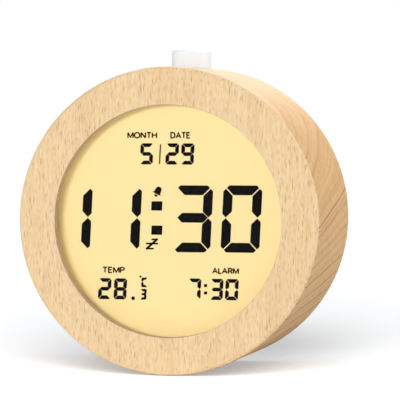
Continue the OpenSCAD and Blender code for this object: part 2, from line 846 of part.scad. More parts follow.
battery_negative_contact();
battery_positive_contact();
battery_lead_red();
battery_lead_black();
ribbon_cable();
snooze_leads();
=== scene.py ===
"""Looks of the round wooden alarm clock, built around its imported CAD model.

Everything is in metres in the model's own frame: +Z is up, the display faces -Y and the drum's
axis runs along Y. Places and main sizes come from the CAD nodes, finer details from named values.
"""
import math

import bmesh
import bpy
from mathutils import Matrix, Vector


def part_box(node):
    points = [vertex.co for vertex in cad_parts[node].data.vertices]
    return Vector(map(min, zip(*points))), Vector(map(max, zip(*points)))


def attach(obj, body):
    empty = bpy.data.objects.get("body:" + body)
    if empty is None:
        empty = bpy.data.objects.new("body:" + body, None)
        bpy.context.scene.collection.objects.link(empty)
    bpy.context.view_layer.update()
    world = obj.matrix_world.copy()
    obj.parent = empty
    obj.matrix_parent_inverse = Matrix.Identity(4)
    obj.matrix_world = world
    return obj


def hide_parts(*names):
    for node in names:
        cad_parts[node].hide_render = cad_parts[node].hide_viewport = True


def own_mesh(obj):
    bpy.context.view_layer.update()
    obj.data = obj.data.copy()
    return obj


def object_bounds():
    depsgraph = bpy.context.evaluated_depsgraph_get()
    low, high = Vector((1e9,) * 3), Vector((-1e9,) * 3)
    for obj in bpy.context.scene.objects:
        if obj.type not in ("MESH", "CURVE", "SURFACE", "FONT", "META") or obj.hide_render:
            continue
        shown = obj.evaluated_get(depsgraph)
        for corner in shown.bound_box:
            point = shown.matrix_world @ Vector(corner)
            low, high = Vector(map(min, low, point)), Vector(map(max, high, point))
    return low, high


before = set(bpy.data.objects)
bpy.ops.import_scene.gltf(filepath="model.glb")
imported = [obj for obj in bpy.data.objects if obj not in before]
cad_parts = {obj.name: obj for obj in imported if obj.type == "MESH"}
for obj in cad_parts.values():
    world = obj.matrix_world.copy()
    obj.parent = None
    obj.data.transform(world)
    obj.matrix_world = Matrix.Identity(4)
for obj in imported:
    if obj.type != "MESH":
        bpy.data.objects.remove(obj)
cad_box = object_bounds()

MM = 0.001


# ---- measures from the frame

def node_points(node):
    """Every vertex of a CAD node as (distance from the drum's axis, y)."""
    return [(math.hypot(v.co.x, v.co.z - AXIS_Z), v.co.y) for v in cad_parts[node].data.vertices]


drum_low, drum_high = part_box("wooden_housing")
AXIS_Z = (drum_low.z + drum_high.z) / 2
DRUM_R = (drum_high.z - drum_low.z) / 2
FRONT_Y, BACK_Y = drum_low.y, drum_high.y
WINDOW_R = min(r for r, y in node_points("wooden_housing"))
LIP_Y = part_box("lens_tape_ring")[0].y
LENS_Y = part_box("front_lens")[0].y
DISPLAY_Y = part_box("lcd_front_polarizer")[0].y
INSERT_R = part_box("front_lens")[1].x
CAVITY_R = INSERT_R + 0.3 * MM
COVER_BACK_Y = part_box("battery_door")[1].y
COVER_R = max(r for r, y in node_points("rear_cover"))
REBATE_R = COVER_R + 0.2 * MM
COVER_Y = max(y for r, y in node_points("wooden_housing") if r < REBATE_R - 0.5 * MM)
BUTTON_LOW, BUTTON_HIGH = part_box("snooze_button")
BUTTON_Y = (BUTTON_LOW.y + BUTTON_HIGH.y) / 2


# ---- camera

CAMERA_AZIMUTH = math.radians(13.75)
CAMERA_ELEVATION = math.radians(2.42)
CAMERA_DISTANCE = 0.730
CAMERA_LENS = 223.9
AIM_RIGHT = 3.86 * MM
AIM_UP = 5.26 * MM


def make_camera():
    """The photograph's view: from a little to the right and just above the drum's axis."""
    centre = Vector((0, 0, AXIS_Z))
    back = Vector((math.sin(CAMERA_AZIMUTH) * math.cos(CAMERA_ELEVATION),
                   -math.cos(CAMERA_AZIMUTH) * math.cos(CAMERA_ELEVATION),
                   math.sin(CAMERA_ELEVATION)))
    right = Vector((0, 0, 1)).cross(back).normalized()
    up = back.cross(right)
    data = bpy.data.cameras.new("camera")
    data.lens = CAMERA_LENS
    data.clip_start, data.clip_end = 0.02, 60
    camera = bpy.data.objects.new("camera", data)
    camera.location = centre + back * CAMERA_DISTANCE
    aim = centre + right * AIM_RIGHT + up * AIM_UP
    camera.rotation_mode = "QUATERNION"
    camera.rotation_quaternion = (aim - camera.location).to_track_quat("-Z", "Y")
    bpy.context.scene.collection.objects.link(camera)
    bpy.context.scene.camera = camera


# ---- shader building

class Shader:
    """A material whose nodes are added by short calls. An input is a socket, number or colour."""

    def __init__(self, name, **sockets):
        self.material = bpy.data.materials.new(name)
        self.material.use_nodes = True
        self.tree = self.material.node_tree
        self.surface = self.tree.nodes["Principled BSDF"]
        self.set(self.surface, sockets)
        self.place = None

    def set(self, node, values):
        for key, value in values.items():
            socket = node.inputs[key if isinstance(key, int) else key.replace("_", " ")]
            if isinstance(value, bpy.types.NodeSocket):
                self.tree.links.new(value, socket)
            elif socket.type == "RGBA" and len(value) == 3:
                socket.default_value = (*value, 1)
            else:
                socket.default_value = value

    def node(self, kind, inputs=None, **settings):
        made = self.tree.nodes.new("ShaderNode" + kind)
        for key, value in settings.items():
            setattr(made, key, value)
        self.set(made, inputs or {})
        return made

    def position(self, scale=(1, 1, 1)):
        """Object coordinates in millimetres, stretched by scale."""
        if self.place is None:
            self.place = self.node("TexCoord").outputs["Object"]
        made = self.node("Mapping", {"Vector": self.place})
        made.inputs["Scale"].default_value = [factor / MM for factor in scale]
        return made.outputs["Vector"]

    def math(self, operation, a, b=0.0, c=0.0):
        return self.node("Math", {0: a, 1: b, 2: c}, operation=operation).outputs[0]

    def times(self, a, b):
        return self.math("MULTIPLY", a, b)

    def plus(self, a, b):
        return self.math("ADD", a, b)

    def times_plus(self, a, b, c):
        return self.math("MULTIPLY_ADD", a, b, c)

    def split(self, vector):
        return self.node("SeparateXYZ", {0: vector}).outputs

    def noise(self, vector, scale=1.0, detail=2.0, roughness=0.5):
        return self.node("TexNoise", {"Vector": vector, "Scale": scale, "Detail": detail,
                                      "Roughness": roughness}).outputs["Fac"]

    def remap(self, value, low, high, to_low=0.0, to_high=1.0):
        """The value carried from the range low to high over to another range, and kept inside it."""
        return self.node("MapRange", {"Value": value, "From Min": low, "From Max": high,
                                      "To Min": to_low, "To Max": to_high}).outputs["Result"]

    def mix(self, factor, a, b):
        """Colours a and b mixed by factor."""
        made = self.node("Mix", data_type="RGBA")
        self.set(made, {0: factor, 6: a, 7: b})
        return made.outputs[2]

    def bump(self, height, depth_mm, strength=1.0):
        made = self.node("Bump", {"Height": height, "Strength": strength, "Distance": depth_mm * MM})
        self.tree.links.new(made.outputs["Normal"], self.surface.inputs["Normal"])

    def feed(self, **inputs):
        self.set(self.surface, inputs)


def tinted(colour, amount):
    """A colour made lighter or darker by a share."""
    return tuple(min(1.0, c * (1 + amount)) for c in colour)


def moulded(name, colour, roughness, grain, depth, variation=0.05, **sockets):
    """Moulded plastic, rubber or resin: a fine grain, faint cloudiness and uneven gloss.

    Grain and depth are the grain's size and height in millimetres; variation is a share of colour.
    """
    s = Shader(name, **sockets)
    cloud = s.noise(s.position(), 0.09, 3.0)
    fine = s.noise(s.position(), 1 / grain, 3.0, 0.6)
    blend = s.times_plus(fine, 0.35, s.times(cloud, 0.65))
    s.feed(Base_Color=s.mix(blend, tinted(colour, -variation), tinted(colour, variation)),
           Roughness=s.remap(fine, 0.3, 0.7, roughness * 0.88, roughness * 1.14))
    s.bump(fine, depth)
    return s.material


DRAWN_LINES = (0.4, 6.0, 6.0)


def metal(name, colour, roughness):
    """Plated sheet or wire: fine drawn lines and a few duller patches."""
    s = Shader(name, Metallic=1.0)
    lines = s.noise(s.position(DRAWN_LINES), 1.0, 3.0, 0.6)
    patch = s.noise(s.position(), 0.4)
    s.feed(Base_Color=s.mix(patch, tinted(colour, -0.12), tinted(colour, 0.06)),
           Roughness=s.remap(lines, 0.3, 0.7, roughness * 0.75, roughness * 1.3))
    s.bump(lines, 0.01)
    return s.material


# ---- beech

BEECH_PALE = (0.885, 0.675, 0.410)
BEECH_DEEP = (0.765, 0.530, 0.285)
BEECH_SIDE = (0.695, 0.408, 0.158)
FLECK = (0.430, 0.220, 0.085)
RING = (0.255, 0.122, 0.042)
# Painted shade: this colour and its share turn the window's inner wall greyer and darker, where the lip's
# shade falls.
WINDOW_WALL_SHADE = (0.665, 0.550, 0.520)
SIDE_SHARE, FLECK_SHARE, WINDOW_WALL_SHADE_SHARE = 0.88, 0.92, 0.5
FIBRE_WANDER = 5.0

# Rings, with lengths in millimetres: how far apart, and how they lean along X and Y.
RING_GAP = 3.3
RING_LAYERS = ((RING_GAP, 1.0), (RING_GAP * 0.43, 0.65))
RING_LEAN_X, RING_LEAN_Y, RING_WOBBLE = 0.80, -0.20, 5.0
FAINT_ABOVE, BOLD_BELOW = 74.0, 46.0
RAY_GAP, RAY_LEAN_Y, RAY_WOBBLE, RAY_SHARE = 1.7, 0.55, 6.0, 0.75

# Flecks: width and length in millimetres, reach within a cell, share of cells with one, darkness.
FLECK_LAYERS = ((0.50, 3.6, 0.37, 0.82, 0.95), (0.40, 2.2, 0.37, 0.85, 0.75), (0.60, 6.0, 0.30, 0.60, 1.0))


def beech_rings(s, spot):
    """Growth rings as they show round the drum's side: each darkens slowly and ends sharply."""
    wobble = s.noise(s.position((0.035, 0.02, 0.035)), 1.0, 3.0)
    level = s.plus(s.times_plus(spot["X"], RING_LEAN_X, spot["Z"]),
                   s.times_plus(wobble, RING_WOBBLE, s.times(spot["Y"], RING_LEAN_Y)))
    patchy = s.remap(s.noise(s.position((0.12, 0.06, 0.12))), 0.3, 0.6, 0.5, 1.0)
    rings = None
    for gap, strength in RING_LAYERS:
        count = s.math("DIVIDE", level, gap)
        saw = s.math("FRACT", count)
        own = s.node("TexWhiteNoise", {"W": s.math("FLOOR", count)}, noise_dimensions="1D").outputs["Value"]
        line = s.math("MINIMUM", s.math("POWER", s.remap(saw, 0.0, 0.7), 8.0), s.remap(saw, 0.80, 0.70))
        line = s.times(line, s.remap(own, 0.2, 0.8, 0.2 * strength, strength))
        rings = line if rings is None else s.math("MAXIMUM", rings, line)
    broad = s.times(s.math("FRACT", s.math("DIVIDE", level, RING_GAP * 2.3)), 0.14)
    fading = s.remap(spot["Z"], FAINT_ABOVE, BOLD_BELOW, 0.35, 1.25)
    return s.plus(s.times(rings, s.times(patchy, fading)), broad)


def beech_rays(s, spot):
    """Faint ray lines that cross the rings."""
    wobble = s.noise(s.position((0.05, 0.05, 0.05)))
    level = s.plus(s.times_plus(spot["Y"], RAY_LEAN_Y, spot["Z"]), s.times(wobble, RAY_WOBBLE))
    saw = s.math("PINGPONG", level, RAY_GAP)
    here = s.remap(s.noise(s.position((0.22, 0.22, 0.22))), 0.48, 0.60)
    return s.times(s.times(s.remap(saw, 0.20, 0.0), here), RAY_SHARE)


def beech():
    """Beech sawn so that its fibres run up the face, with rings showing round the drum's side, and painted
    shade on the window's inner wall.
    """
    s = Shader("beech", Specular_IOR_Level=0.3)
    wander = s.noise(s.position((0.05, 0.05, 0.02)))
    drift = s.node("CombineXYZ", {"X": s.times(wander, FIBRE_WANDER)}).outputs[0]
    warped = s.node("VectorMath", {0: s.position(), 1: drift}, operation="ADD").outputs[0]

    def stretched(x, y, z):
        return s.node("VectorMath", {0: warped, 1: (x, y, z)}, operation="MULTIPLY").outputs[0]

    band = s.noise(stretched(0.16, 0.16, 0.012))
    streak = s.noise(stretched(1.25, 1.25, 0.13), 1.0, 3.0, 0.6)
    fibre = s.noise(stretched(1.7, 1.7, 0.55), 1.0, 3.0, 0.65)
    tone = s.plus(s.times(band, 0.25), s.times_plus(streak, 0.40, s.times(fibre, 0.35)))
    colour = s.mix(s.remap(tone, 0.38, 0.62), BEECH_PALE, BEECH_DEEP)

    facing = s.split(s.node("NewGeometry").outputs["Normal"])["Y"]
    side = s.remap(s.math("ABSOLUTE", facing), 0.62, 0.25)
    side_tone = s.mix(s.remap(tone, 0.35, 0.65), tinted(BEECH_SIDE, 0.08), tinted(BEECH_SIDE, -0.10))
    colour = s.mix(s.times(side, SIDE_SHARE), colour, side_tone)

    flecks = None
    for width, length, reach, share, weight in FLECK_LAYERS:
        cell = s.node("TexVoronoi", {"Vector": stretched(1 / width, 1 / width, 1 / length),
                                     "Scale": 1.0})
        near = s.remap(cell.outputs["Distance"], reach, reach * 0.2)
        shown = s.remap(s.node("SeparateColor", {0: cell.outputs["Color"]}).outputs[0],
                        1 - share, 1.0, 0.0, weight)
        mark = s.times(near, s.math("POWER", s.math("MAXIMUM", shown, 0.0), 1.1))
        flecks = mark if flecks is None else s.math("MAXIMUM", flecks, mark)
    flecks = s.times(flecks, s.remap(side, 0.0, 1.0, 1.0, 0.30))
    colour = s.mix(s.times(flecks, FLECK_SHARE), colour, FLECK)

    spot = s.split(s.position())
    lines = s.math("MAXIMUM", beech_rings(s, spot), beech_rays(s, spot))
    ring = s.times(lines, s.remap(side, 0.0, 1.0, 0.04, 1.0))
    colour = s.mix(ring, colour, RING)
    # Painted shade on the window's inner wall: full on the wall and fading out within 0.22 mm of the
    # window's radius.
    across = s.node("CombineXYZ", {"X": spot["X"], "Z": s.math("SUBTRACT", spot["Z"], AXIS_Z / MM)})
    radius = s.node("VectorMath", {0: across.outputs[0]}, operation="LENGTH").outputs["Value"]
    window_wall_shade = s.remap(radius, WINDOW_R / MM + 0.22, WINDOW_R / MM + 0.03)
    colour = s.mix(s.times(window_wall_shade, WINDOW_WALL_SHADE_SHARE), colour, WINDOW_WALL_SHADE)

    s.feed(Base_Color=colour, Roughness=s.remap(fibre, 0.3, 0.7, 0.46, 0.62))
    grooves = s.plus(s.times(flecks, -0.8), s.times(fibre, 0.5))
    s.bump(s.times_plus(ring, -0.5, grooves), 0.035, 0.9)
    return s.material


# ---- mesh building

SMOOTH_ANGLE = math.radians(35)


def from_bmesh(name, bm, material, smooth_angle=SMOOTH_ANGLE):
    """The mesh as an object of that name, smooth except across edges sharper than the angle."""
    bmesh.ops.recalc_face_normals(bm, faces=bm.faces)
    mesh = bpy.data.meshes.new(name)
    bm.to_mesh(mesh)
    bm.free()
    mesh.materials.append(material)
    mesh.polygons.foreach_set("use_smooth", [True] * len(mesh.polygons))
    mesh.set_sharp_from_angle(angle=smooth_angle)
    made = bpy.data.objects.new(name, mesh)
    bpy.context.scene.collection.objects.link(made)
    crisp = made.modifiers.new("flat_faces", "WEIGHTED_NORMAL")
    crisp.keep_sharp = True
    return made


def ride_as(slot, body, *pieces):
    """Puts each piece on the body that it moves with. The slot is not used."""
    for piece in pieces:
        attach(piece, body)


def arc(centre, radius, start, end, steps):
    """Points along an arc, with angles in degrees."""
    angles = [math.radians(start + (end - start) * i / steps) for i in range(steps + 1)]
    return [(centre[0] + radius * math.cos(a), centre[1] + radius * math.sin(a)) for a in angles]


def from_mm(points):
    return [(a * MM, b * MM) for a, b in points]


ALONG_Y = Matrix(((1, 0, 0), (0, 0, 1), (0, -1, 0))).to_4x4()


def lathe(name, profile, material, place, segments=96, closed=False):
    """Turns (radius, height) points about the local Z of place. Ends at radius 0 are closed."""
    bm = bmesh.new()
    angles = [2 * math.pi * i / segments for i in range(segments)]
    rings = [[bm.verts.new(place @ Vector((radius * math.cos(a), radius * math.sin(a), height)))
              for a in (angles if radius else [0])] for radius, height in profile]
    pairs = list(zip(rings, rings[1:])) + ([(rings[-1], rings[0])] if closed else [])
    for low, high in pairs:
        for i in range(segments):
            j = (i + 1) % segments
            around = ((low, i), (low, j), (high, j), (high, i))
            corners = dict.fromkeys(ring[k % len(ring)] for ring, k in around)
            if len(corners) > 2:
                bm.faces.new(list(corners))
    return from_bmesh(name, bm, material)


def axial(x=0.0, z=0.0):
    """A place whose local Z runs along the drum's axis, at x and at z above that axis."""
    return Matrix.Translation((x, 0, AXIS_Z + z)) @ ALONG_Y


def block(low, high):
    """A box between two corners."""
    bm = bmesh.new()
    bmesh.ops.create_cube(bm, size=1)
    for v in bm.verts:
        v.co = Vector([(low if c < 0 else high)[i] for i, c in enumerate(v.co)])
    return bm


def cut(piece, cutter):
    """Takes the cutter's shape out of the piece, for good."""
    modifier = piece.modifiers.new("cut", "BOOLEAN")
    modifier.operation, modifier.solver, modifier.object = "DIFFERENCE", "EXACT", cutter
    piece.modifiers["flat_faces"].show_viewport = False
    bpy.context.view_layer.update()
    done = bpy.data.meshes.new_from_object(piece.evaluated_get(bpy.context.evaluated_depsgraph_get()))
    piece.modifiers.remove(modifier)
    piece.modifiers["flat_faces"].show_viewport = True
    piece.data = done
    bpy.data.objects.remove(cutter)
    done.set_sharp_from_angle(angle=SMOOTH_ANGLE)


BEVEL_ANGLE = math.radians(40)
FLAT_ANGLE = math.radians(0.4)
WELD = 0.002 * MM


def refine(node, name, material, bevel_mm):
    """The CAD node's own shape with its flat faces joined and its sharp edges rounded."""
    bm = bmesh.new()
    bm.from_mesh(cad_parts[node].data)
    bmesh.ops.remove_doubles(bm, verts=bm.verts, dist=WELD)
    bmesh.ops.dissolve_limit(bm, angle_limit=FLAT_ANGLE, verts=bm.verts, edges=bm.edges)
    sharp = [e for e in bm.edges if len(e.link_faces) == 2 and e.calc_face_angle(0) > BEVEL_ANGLE]
    bmesh.ops.bevel(bm, geom=sharp, offset=bevel_mm * MM, segments=2, profile=0.5, affect="EDGES",
                    clamp_overlap=True)
    piece = from_bmesh(name, bm, material, BEVEL_ANGLE)
    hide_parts(node)
    return piece


# ---- housing and lens

WINDOW_EDGE, DRUM_EDGE, REBATE_EDGE = 0.25 * MM, 1.4 * MM, 0.4 * MM
BUTTON_HOLE_R, POCKET_GAP = 6.1 * MM, 0.1 * MM


def beech_drum(material):
    """The turned drum with rounded edges, the button's hole and the pad's pocket."""
    lip, edge, rim = WINDOW_EDGE, DRUM_EDGE, REBATE_EDGE
    profile = (arc((WINDOW_R + lip, FRONT_Y + lip), lip, 180, 270, 6)
               + arc((DRUM_R - edge, FRONT_Y + edge), edge, -90, 0, 10)
               + arc((DRUM_R - edge, BACK_Y - edge), edge, 0, 90, 10)
               + arc((REBATE_R + rim, BACK_Y - rim), rim, 90, 180, 6)
               + [(REBATE_R, COVER_Y), (CAVITY_R, COVER_Y), (CAVITY_R, LIP_Y), (WINDOW_R, LIP_Y)])
    drum = lathe("beech_drum", profile, material, axial(), 288, closed=True)
    bottom, top = 0.7 * CAVITY_R, DRUM_R + 2 * MM
    hole_profile = [(0, bottom), (BUTTON_HOLE_R, bottom), (BUTTON_HOLE_R, top), (0, top)]
    cut(drum, lathe("hole", hole_profile, material, Matrix.Translation((0, BUTTON_Y, AXIS_Z))))
    low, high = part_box("base_pad")
    gap = Vector((POCKET_GAP, POCKET_GAP, 0))
    pocket = block(low - gap - Vector((0, 0, MM)), high + gap)
    cut(drum, from_bmesh("pocket", pocket, material))
    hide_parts("wooden_housing")
    ride_as("beech", "case", drum)


# ---- light

def sun(name, toward, strength, softness, mirrored, lit):
    """A broad lamp far away, which lights only the objects that the collection names."""
    data = bpy.data.lights.new(name, "SUN")
    data.energy, data.angle = strength, math.radians(softness)
    lamp = bpy.data.objects.new(name, data)
    lamp.light_linking.receiver_collection = lit
    lamp.visible_glossy = mirrored
    lamp.rotation_mode = "QUATERNION"
    lamp.rotation_quaternion = (-Vector(toward)).to_track_quat("-Z", "Y")
    bpy.context.scene.collection.objects.link(lamp)


SKY_LIGHT = 0.22
FLOOR_GLOW = 0.38
FLOOR_TONES = (0.590, 0.597, 0.607), (0.605, 0.612, 0.622)
FLOOR_HALF = 12

# Name, direction towards the lamp, strength, softness in degrees, and whether gloss mirrors it.
SUBJECT_LAMPS = (("key", (-0.25, -1.0, 0.05), 3.0, 22, False),
                 ("top", (0.15, 0.20, 1.0), 0.88, 80, True),
                 ("back", (-0.05, 1.0, 0.8), 2.0, 40, True),
                 ("side", (1.0, 0.35, 0.48), 1.88, 60, True))
GROUND_LAMP = ("ground_light", (0.17, -1.0, 0.45), 6.65, 38, True)


def camera_only(tree, hidden, seen):
    """A value that is one thing to the camera and another as a light."""
    ray = tree.nodes.new("ShaderNodeLightPath")
    chosen = tree.nodes.new("ShaderNodeMapRange")
    chosen.inputs["To Min"].default_value = hidden
    chosen.inputs["To Max"].default_value = seen
    tree.links.new(ray.outputs["Is Camera Ray"], chosen.inputs["Value"])
    return chosen.outputs["Result"]


def make_studio():
    """A white sweep: the sky and the floor are plain white to the eye and dimmer as lights."""
    world = bpy.data.worlds.new("studio")
    world.use_nodes = True
    sky = world.node_tree.nodes["Background"]
    world.node_tree.links.new(camera_only(world.node_tree, SKY_LIGHT, 1.0), sky.inputs["Strength"])
    sky.inputs["Color"].default_value = (1, 1, 1, 1)
    bpy.context.scene.world = world
    bpy.context.scene.view_settings.view_transform = "Standard"

    s = Shader("floor", Roughness=0.8, Specular_IOR_Level=0.0)
    cloud = s.noise(s.position(), 0.01)
    s.feed(Base_Color=s.mix(cloud, *FLOOR_TONES), Emission_Color=(1, 1, 1),
           Emission_Strength=camera_only(s.tree, 0.0, FLOOR_GLOW))
    bm = bmesh.new()
    bmesh.ops.create_grid(bm, x_segments=8, y_segments=8, size=FLOOR_HALF)
    floor = from_bmesh("floor", bm, s.material)
    floor.location.z = cad_box[0].z

    ground, subject = bpy.data.collections.new("ground"), bpy.data.collections.new("subject")
    ground.objects.link(floor)
    subject.objects.link(floor)
    subject.collection_objects[0].light_linking.link_state = "EXCLUDE"
    for lamp in SUBJECT_LAMPS:
        sun(*lamp, subject)
    sun(*GROUND_LAMP, ground)


# ---- display

DIGIT_SLANT = math.tan(math.radians(3.0))
SEGMENTS = {"0": "abcdef", "1": "bc", "2": "abged", "3": "abgcd", "5": "afgcd", "7": "abc",
            "8": "abcdefg", "9": "abcdfg", "C": "afed"}
INK_T = 0.06 * MM


def segment_outlines(width, height, middle, stroke, gap, corner):
    """The seven bars of a digit, as outlines from its lower left corner."""
    inset = (corner + gap) / 2
    notch = (corner - gap) / 2
    knee = 0.38 * stroke
    half_gap = gap / 2

    def upright(top, base):
        """The right-hand bar between a corner at top and the middle line at base."""
        up = 1 if top > base else -1
        return [(width - notch, top - up * inset), (width, top - up * corner),
                (width, base + up * (half_gap + knee)), (width - knee, base + up * half_gap),
                (width - stroke, base + up * (half_gap + stroke - knee)),
                (width - stroke, top - up * (stroke + gap))]

    def across(points):
        return [(width - x, z) for x, z in points]

    tip = knee + half_gap
    bar = [(tip, middle), (tip + stroke / 2, middle + stroke / 2),
           (width - tip - stroke / 2, middle + stroke / 2), (width - tip, middle),
           (width - tip - stroke / 2, middle - stroke / 2), (tip + stroke / 2, middle - stroke / 2)]
    top = [(corner, height), (width - corner, height), (width - inset, height - notch),
           (width - stroke - gap, height - stroke), (stroke + gap, height - stroke),
           (inset, height - notch)]
    return {"a": top, "b": upright(height, middle), "c": upright(0, middle),
            "d": [(x, height - z) for x, z in top], "e": across(upright(0, middle)),
            "f": across(upright(height, middle)), "g": bar}


def plate(bm, *loops):
    """Closes two matching loops of points into a solid."""
    back, front = ([bm.verts.new(point) for point in loop] for loop in loops)
    bm.faces.new(back)
    bm.faces.new(front)
    for i in range(len(back)):
        j = (i + 1) % len(back)
        bm.faces.new((back[i], back[j], front[j], front[i]))


def prism(bm, outline, y_back=DISPLAY_Y, thickness=INK_T):
    """A flat plate of (x, z) millimetres about the drum's axis, its back on the plane y_back."""
    plate(bm, *([(x, y, AXIS_Z + z) for x, z in from_mm(outline)] for y in (y_back, y_back - thickness)))


def slanted(points, left, bottom, height):
    """Outline points moved into place and leant to the right."""
    return [(left + x + DIGIT_SLANT * (z - height / 2), bottom + z) for x, z in points]


# Sizes and places on the display are in millimetres, the places about the drum's axis.
BIG = dict(width=11.3, height=19.1, middle=9.87, stroke=2.76, gap=0.22, corner=1.66)
SMALL = dict(width=3.8, height=6.05, middle=3.0, stroke=1.08, gap=0.07, corner=0.55)
TINY = dict(width=1.8, height=3.1, middle=1.6, stroke=0.68, gap=-0.04, corner=0.3)
TINY_C = {**TINY, "height": 2.8}
COLON, SMALL_COLON = (3.22, 2.64), (0.92, 0.86)
DATE_FOOT, TEMP_FOOT, ALARM_FOOT = 16.06, -22.8, -22.5

# Each reading: characters (size, character, right edge, foot), squares (left, foot, width, height)
# and dots (centre and radius).
READINGS = {
    "time_digits": ([(BIG, "1", -23.66, -9.17), (BIG, "1", -8.98, -9.1), (BIG, "3", 11.98, -8.98),
                     (BIG, "0", 26.29, -8.89)],
                    [(-5.79, 2.86, *COLON), (-5.79, -4.08, *COLON)], []),
    "date_digits": ([(SMALL, "5", -5.27, DATE_FOOT), (SMALL, "2", 2.28, DATE_FOOT),
                     (SMALL, "9", 6.8, DATE_FOOT)], [], []),
    "temperature_digits": ([(SMALL, "2", -17.77, TEMP_FOOT), (SMALL, "8", -13.12, TEMP_FOOT),
                            (TINY_C, "C", -6.97, -19.2), (TINY, "3", -7.25, -22.78)],
                           [], [(-11.22, -22.42, 0.54), (-9.02, -16.15, 0.3)]),
    "alarm_digits": ([(SMALL, "7", 8.8, ALARM_FOOT), (SMALL, "3", 15.3, ALARM_FOOT),
                      (SMALL, "0", 19.75, ALARM_FOOT)],
                     [(9.72, -18.86, *SMALL_COLON), (9.72, -20.97, *SMALL_COLON)], []),
}
DIVIDER = (-3.40, 16.15, 0.36, 5.7)
DOT_SIDES = 20


def reading(name, ink, characters, squares, dots):
    """One group of the display's characters, leaning squares and dots, as a single thin piece."""
    bm = bmesh.new()
    for size, char, right, foot in characters:
        outlines = segment_outlines(**size)
        for letter in SEGMENTS[char]:
            prism(bm, slanted(outlines[letter], right - size["width"], foot, size["height"]))
    for left, foot, width, height in squares:
        prism(bm, slanted([(0, 0), (width, 0), (width, height), (0, height)], left, foot, height))
    for x, z, radius in dots:
        prism(bm, arc((x, z), radius, 0, 360, DOT_SIDES)[:-1])
    return from_bmesh(name, bm, ink)


# The two letters Z share one slanted stroke. Each stroke: start, end and width.
SNOOZE_STROKES = (((-5.51, -5.44), (-4.11, -5.44), 0.48), ((-4.16, -5.44), (-7.11, -8.04), 0.62),
                  ((-7.16, -6.62), (-4.06, -6.62), 0.48), ((-7.16, -8.06), (-5.31, -8.06), 0.48))


def snooze_icon(ink):
    bm = bmesh.new()
    for start, end, width in SNOOZE_STROKES:
        a, b = Vector(start), Vector(end)
        along = (b - a).normalized() * width / 2
        side = Vector((-along.y, along.x))
        corners = [a - along - side, b + along - side, b + along + side, a - along + side]
        prism(bm, [tuple(corner) for corner in corners])
    return from_bmesh("snooze_icon", bm, ink)


BELL_X, BELL_Z, BELL_TILT = -3.64, 8.85, math.radians(-27)


def bell_icon(ink):
    """A tilted hand bell: its dome and flared mouth, and the clapper past a thin gap."""
    half = arc((0, 0), 0.88, 90, 0, 8) + [(0.90, -0.55), (1.00, -0.92), (1.28, -1.27), (0.6, -1.42)]
    outline = half + [(-x, z) for x, z in reversed(half[1:])]
    clapper = arc((0.05, -1.62), 0.56, 180, 360, 10)
    cosine, sine = math.cos(BELL_TILT), math.sin(BELL_TILT)
    bm = bmesh.new()
    for shape in (outline, clapper):
        prism(bm, [(BELL_X + x * cosine - z * sine, BELL_Z + x * sine + z * cosine) for x, z in shape])
    return from_bmesh("bell_icon", bm, ink)


def ribbon(bm, points, width):
    """A flat stroke of even width along (x, z) millimetres, mitred at its corners."""
    closed = points[0] == points[-1]
    path = [Vector(p) for p in (points[:-1] if closed else points)]
    count = len(path)
    rows = []
    for i, point in enumerate(path):
        before = path[i - 1] if i or closed else None
        after = path[(i + 1) % count] if i < count - 1 or closed else None
        runs = [b - a for a, b in ((before, point), (point, after)) if a is not None and b is not None]
        normals = [Vector((-run.y, run.x)).normalized() for run in runs]
        mitre = sum(normals, Vector((0, 0))).normalized()
        reach = width / 2 / max(mitre.dot(normals[0]), 0.6)
        rows.append([bm.verts.new((p.x * MM, y, AXIS_Z + p.y * MM))
                     for p in (point + mitre * reach, point - mitre * reach)
                     for y in (DISPLAY_Y, DISPLAY_Y - INK_T)])
    links = list(zip(rows, rows[1:])) + ([(rows[-1], rows[0])] if closed else [])
    for (a0, a1, b0, b1), (c0, c1, d0, d1) in links:
        for face in ((a0, c0, c1, a1), (b0, d0, d1, b1), (a0, c0, d0, b0), (a1, c1, d1, b1)):
            bm.faces.new(face)
    if not closed:
        for a0, a1, b0, b1 in (rows[0], rows[-1]):
            bm.faces.new((a0, a1, b1, b0))


def oval(width, steps=20):
    """A closed upright oval one unit high."""
    points = [(width / 2 * (1 + x), 0.5 * (1 + z)) for x, z in arc((0, 0), 1, 0, 360, steps)]
    return points[:-1] + points[:1]


BOWL = [(0, 0), (0, 1), (0.34, 1), (0.50, 0.95), (0.58, 0.84), (0.58, 0.66), (0.50, 0.55), (0.34, 0.5),
        (0, 0.5)]
LETTERS = {
    "A": (0.80, [[(0, 0), (0.40, 1), (0.80, 0)], [(0.14, 0.34), (0.66, 0.34)]]),
    "D": (0.72, [[(0, 0), (0, 1), (0.28, 1), (0.50, 0.94), (0.66, 0.78), (0.72, 0.5), (0.66, 0.22),
                  (0.50, 0.06), (0.28, 0), (0, 0)]]),
    "E": (0.54, [[(0.54, 1), (0, 1), (0, 0), (0.54, 0)], [(0, 0.52), (0.47, 0.52)]]),
    "H": (0.68, [[(0, 0), (0, 1)], [(0.68, 0), (0.68, 1)], [(0, 0.52), (0.68, 0.52)]]),
    "L": (0.42, [[(0, 1), (0, 0), (0.48, 0)]]),
    "M": (0.84, [[(0, 0), (0, 1)], [(0.02, 1), (0.42, 0.10), (0.82, 1)], [(0.84, 1), (0.84, 0)]]),
    "N": (0.70, [[(0, 0), (0, 1)], [(0.02, 1), (0.68, 0)], [(0.70, 0), (0.70, 1)]]),
    "O": (0.84, [oval(0.84)]),
    "P": (0.58, [BOWL]),
    "R": (0.62, [BOWL, [(0.32, 0.5), (0.62, 0)]]),
    "T": (0.66, [[(0, 1), (0.66, 1)], [(0.33, 1), (0.33, 0)]]),
}
LETTER_GAP = 0.24
HEADING_STROKE = 0.40


